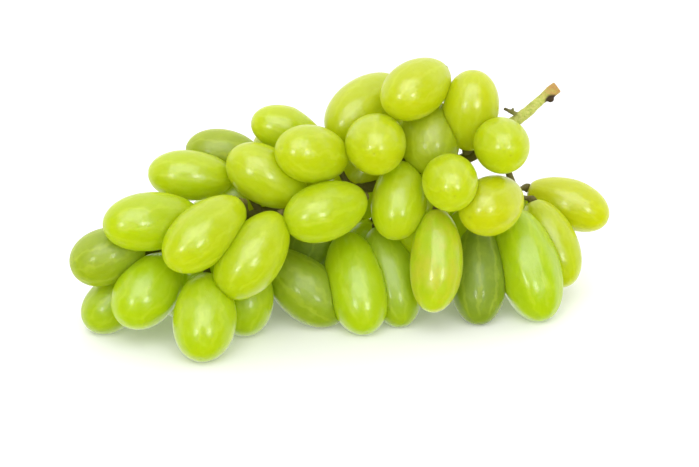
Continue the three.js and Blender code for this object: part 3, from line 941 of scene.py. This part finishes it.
def grape_skin():
    """Translucent yellow-green skin with faint veins, waxy bloom, specks and brown scars, painted shade
    on the dull berries, and a painted glow.
    """
    skin = Nodes("grape_skin")
    spot = skin.attribute("spot")
    place = skin.vector("ADD", spot, skin.attribute("offset"))
    tint, blush, dull_and_shaded = skin.split(skin.attribute("tone"))
    x, y, along = skin.split(spot)
    tip_share = skin.attribute("tip_share", "Fac")

    cloud = skin.math("MULTIPLY", skin.noise(place, 0.09, 2), 0.5)
    ripe = skin.math("SUBTRACT", skin.math("ADD", tint, cloud), 0.25, clamp=True)
    colour = skin.mix(ripe, SKIN_GREEN, SKIN_YELLOW)
    # Painted shade: berries that lie in shade are darkened toward this colour
    colour = skin.mix(dull_and_shaded, colour, SKIN_DULL_SHADED)

    around = skin.math("ARCTAN2", y, x)
    wander = skin.math("MULTIPLY", skin.noise(place, 0.22, 2), 6)
    lines = skin.math("SINE", skin.math("ADD", skin.math("MULTIPLY", around, VEINS), wander))
    veins = skin.ramp(lines, 0.6, 1.0, 0, 0.14)
    ends = skin.ramp(skin.math("ABSOLUTE", tip_share), 0.75, 0.98, 1, 0)
    colour = skin.mix(skin.math("MULTIPLY", veins, ends), colour, SKIN_VEIN)

    bloom = skin.ramp(skin.noise(place, 0.35, 5, 0.62), 0.42, 0.72)
    colour = skin.mix(skin.math("MULTIPLY", bloom, 0.10), colour, SKIN_PALE)

    blotches = skin.ramp(skin.noise(place, 0.16, 3, 0.6), 0.36, 0.66)
    blushing = skin.math("MULTIPLY", skin.math("MULTIPLY", blotches, blush), 0.55)
    colour = skin.mix(blushing, colour, SKIN_BLUSH)

    voronoi = skin.add("ShaderNodeTexVoronoi", {"Vector": place, "Scale": 0.55})
    near_speck = skin.ramp(voronoi.outputs["Distance"], 0.05, 0.13, 1, 0)
    rare = skin.ramp(skin.noise(place, 0.3, 1), 0.5, 0.6)
    speck = skin.math("MULTIPLY", skin.math("MULTIPLY", near_speck, rare), 0.4)
    colour = skin.mix(speck, colour, SKIN_SPECK)

    squares = skin.math("ADD", skin.math("MULTIPLY", x, x), skin.math("MULTIPLY", y, y))
    from_axis = skin.math("SQRT", squares)
    at_tip = skin.math("GREATER_THAN", along, 0.0)
    scar = skin.math("MULTIPLY", skin.ramp(from_axis, 0.1, 0.6, 0.18, 0), at_tip)
    at_stem = skin.math("SUBTRACT", 1.0, at_tip)
    collar = skin.math("MULTIPLY", skin.ramp(from_axis, 1.5, 3.2, 0.75, 0), at_stem)
    colour = skin.mix(skin.math("MAXIMUM", scar, collar), colour, SCAR_BROWN)

    rough = skin.ramp(bloom, 0, 1, 0.31, 0.45, smooth=False)
    rough = skin.math("ADD", rough, skin.math("MULTIPLY", dull_and_shaded, 0.3))
    fine = skin.noise(place, 2.2, 3)
    waves = skin.noise(place, 0.28, 1)
    streaks = skin.noise(skin.vector("MULTIPLY", place, (1.0, 1.0, 0.22)), 0.9, 3, 0.6)
    normal = skin.bump(waves, 0.0010, 0.25)
    normal = skin.bump(streaks, 0.0003, 0.35, normal)
    normal = skin.bump(fine, 0.00008, 0.25, normal)
    skin.set(Base_Color=colour, Roughness=rough, Normal=normal)
    # Painted glow: the skin emits light by itself, weaker on berries in painted shade, standing in for
    # light that passes through the bunch
    glow = skin.mix(tint, PAINTED_GLOW_GREEN, PAINTED_GLOW_YELLOW)
    glow = skin.mix(dull_and_shaded, glow, PAINTED_GLOW_IN_SHADE)
    skin.set(Emission_Color=glow, Emission_Strength=PAINTED_GLOW_STRENGTH)
    skin.set(IOR=1.5, Subsurface_Weight=1.0, Subsurface_Scale=1.0)
    skin.set(Subsurface_Radius=(0.018, 0.015, 0.0010), Coat_Weight=0.35, Coat_Roughness=0.15)
    skin.shader.subsurface_method = "RANDOM_WALK"
    return skin.material


STEM_GREEN = (0.46, 0.53, 0.09, 1)
STEM_PALE = (0.62, 0.62, 0.17, 1)
STEM_BROWN = (0.16, 0.085, 0.025, 1)
# Inside the bunch: partly browner bark, partly painted shade
STEM_INNER_BROWN_AND_SHADE = (0.13, 0.105, 0.025, 1)
CUT_TAN = (0.52, 0.29, 0.085, 1)
DRIED_BROWN = (0.065, 0.040, 0.018, 1)


def stem_bark():
    """Pale green stem with brown streaks and warts, tanned at its cut end and dried at its stub, and
    darker inside the bunch, partly browner and partly painted shade.
    """
    bark = Nodes("stem_bark")
    place = bark.add("ShaderNodeTexCoord").outputs["Object"]
    place = bark.vector("MULTIPLY", place, (1 / MM, 1 / MM, 1 / MM))
    streaks = bark.noise(place, 0.9, 4, 0.6)
    colour = bark.mix(bark.ramp(streaks, 0.35, 0.65), STEM_GREEN, STEM_PALE)
    warts = bark.add("ShaderNodeTexVoronoi", {"Vector": place, "Scale": 1.1})
    wart = bark.ramp(warts.outputs["Distance"], 0.12, 0.3, 0.35, 0)
    colour = bark.mix(wart, colour, STEM_BROWN)
    patches = bark.ramp(bark.noise(place, 0.35, 3, 0.6), 0.55, 0.75, 0, 0.3)
    colour = bark.mix(patches, colour, STEM_BROWN)
    # Inside the bunch the stem is darker: partly browner bark, partly painted shade
    colour = bark.mix(bark.attribute("inner", "Fac"), colour, STEM_INNER_BROWN_AND_SHADE)
    tan = bark.math("MULTIPLY", bark.attribute("tan", "Fac"), bark.ramp(streaks, 0.3, 0.6, 0.35, 1))
    colour = bark.mix(tan, colour, CUT_TAN)
    colour = bark.mix(bark.attribute("cut", "Fac"), colour, CUT_TAN)
    colour = bark.mix(bark.attribute("dried", "Fac"), colour, DRIED_BROWN)
    normal = bark.bump(streaks, 0.0006, 0.5)
    normal = bark.bump(wart, 0.0003, 0.8, normal)
    bark.set(Base_Color=colour, Roughness=0.62, Specular_IOR_Level=0.2, Normal=normal)
    bark.set(Subsurface_Weight=0.15, Subsurface_Scale=1.0)
    bark.set(Subsurface_Radius=(0.0012, 0.0010, 0.0003))
    return bark.material


PAPER_WHITE = (0.90, 0.90, 0.90, 1)
PAPER_GLOW = 0.15


def floor_paper():
    """Plain white paper."""
    paper = Nodes("floor_paper")
    grain = paper.noise(paper.add("ShaderNodeTexCoord").outputs["Object"], 900, 2)
    paper.set(Base_Color=PAPER_WHITE, Roughness=0.6, Specular_IOR_Level=0.2)
    paper.set(Normal=paper.bump(grain, 0.0001, 0.05))
    paper.set(Emission_Color=(1, 1, 1, 1), Emission_Strength=PAPER_GLOW)
    return paper.material


FLOOR_HALF = 4.0
FLOOR_DROP = 0.00005


def add_floor():
    """Paper under the bunch, which the skin doesn't mirror."""
    corners = [(-1, -1), (1, -1), (1, 1), (-1, 1)]
    points = [(x * FLOOR_HALF, y * FLOOR_HALF, -FLOOR_DROP) for x, y in corners]
    floor = new_object("floor", points, [(0, 1, 2, 3)], floor_paper())
    floor.visible_glossy = False


def add_camera():
    data = bpy.data.cameras.new("camera")
    data.sensor_fit = "HORIZONTAL"
    data.sensor_width = SENSOR_MM
    data.lens = SENSOR_MM * FOCAL_PIXELS / FRAME_WIDTH
    data.clip_start = 0.01
    camera = bpy.data.objects.new("camera", data)
    bpy.context.scene.collection.objects.link(camera)
    turn = Matrix([RIGHT, UP, -AWAY]).transposed()
    camera.matrix_world = Matrix.Translation(to_frame(EYE)) @ turn.to_4x4()
    bpy.context.scene.camera = camera


LIGHT_TARGET = (0.0, 0.0, 0.04)

# Azimuth from the camera's side, elevation, distance, width, height, and radiance of each light
LIGHTS = {
    "overhead": (0, 55, 2.2, 2.2, 1.8, 1.9),
    "left_fill": (-25, 17, 1.3, 0.26, 0.32, 6.0),
    "right_fill": (25, 17, 1.3, 0.26, 0.32, 6.0),
}

# The same boxes as the skin mirrors them: they add to the gloss alone
MIRRORED_LIGHTS = {
    "overhead_gloss": (0, 55, 2.2, 2.2, 1.8, 3.3),
    "left_gloss": (-25, 17, 1.3, 0.26, 0.32, 12.0),
    "right_gloss": (25, 17, 1.3, 0.26, 0.32, 12.0),
}

# Glow of the room and what its wall adds to it, first as they light the bunch and then as its
# skin mirrors them, and how far the wall fades at its edge
ROOM_GLOW = 0.55
WALL_GLOW = 0.75
MIRRORED_ROOM_GLOW = 0.06
MIRRORED_WALL_GLOW = 1.0
WALL_EDGE = 0.3


def add_light(name, azimuth, elevation, distance, width, height, radiance):
    """A soft box of the given radiance, turned to the bunch."""
    data = bpy.data.lights.new(name, "AREA")
    data.shape = "RECTANGLE"
    data.size = width
    data.size_y = height
    data.energy = radiance * math.pi * width * height
    light = bpy.data.objects.new(name, data)
    bpy.context.scene.collection.objects.link(light)
    turn = math.radians(azimuth)
    rise = math.radians(elevation)
    back = np.array([math.sin(turn) * math.cos(rise), -math.cos(turn) * math.cos(rise), math.sin(rise)])
    side = unit(np.cross((0, 0, 1), back))
    over = np.cross(back, side)
    basis = Matrix([side, over, back]).transposed()
    light.matrix_world = Matrix.Translation(np.array(LIGHT_TARGET) + back * distance) @ basis.to_4x4()
    return light


def add_world():
    """A pale studio: a white backdrop behind the bunch, and a dim room in front of it."""
    world = bpy.data.worlds.new("studio")
    world.use_nodes = True
    room = Nodes(world=world)
    _, back, _ = room.split(room.add("ShaderNodeTexCoord").outputs["Generated"])
    paths = room.add("ShaderNodeLightPath").outputs
    mirrored = paths["Is Glossy Ray"]
    ambient = room.ramp(mirrored, 0, 1, ROOM_GLOW, MIRRORED_ROOM_GLOW)
    wall = room.ramp(mirrored, 0, 1, WALL_GLOW, MIRRORED_WALL_GLOW)
    glow = room.math("ADD", room.ramp(back, -WALL_EDGE, WALL_EDGE, 0, wall), ambient)
    strength = room.math("MAXIMUM", glow, paths["Is Camera Ray"])
    background = world.node_tree.nodes["Background"]
    background.inputs["Color"].default_value = (1, 1, 1, 1)
    room.feed(background.inputs["Strength"], strength)
    bpy.context.scene.world = world


def dress(piece, node):
    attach(piece, "root")
    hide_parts(node)


add_camera()
draw = Draw(SEED)
berries = settle(seen_berries() + hidden_berries(draw))
crowd = Crowd(berries)
groups = sprays(berries)

skin_material = grape_skin()
for station in sorted({key[0] for key in groups}):
    members = [berry for key, group in groups.items() if key[0] == station for berry, _ in group]
    piece = berry_piece(f"berries_{station}", members, berries, skin_material, draw)
    dress(piece, "berries")

stem = fused(stem_limbs(groups, crowd, draw), stem_bark())
paint_stem(stem)
dress(stem, "stem")

add_floor()
add_world()
for name, settings in LIGHTS.items():
    add_light(name, *settings)
for name, settings in MIRRORED_LIGHTS.items():
    add_light(name, *settings).visible_diffuse = False
bpy.context.scene.view_settings.view_transform = "Standard"
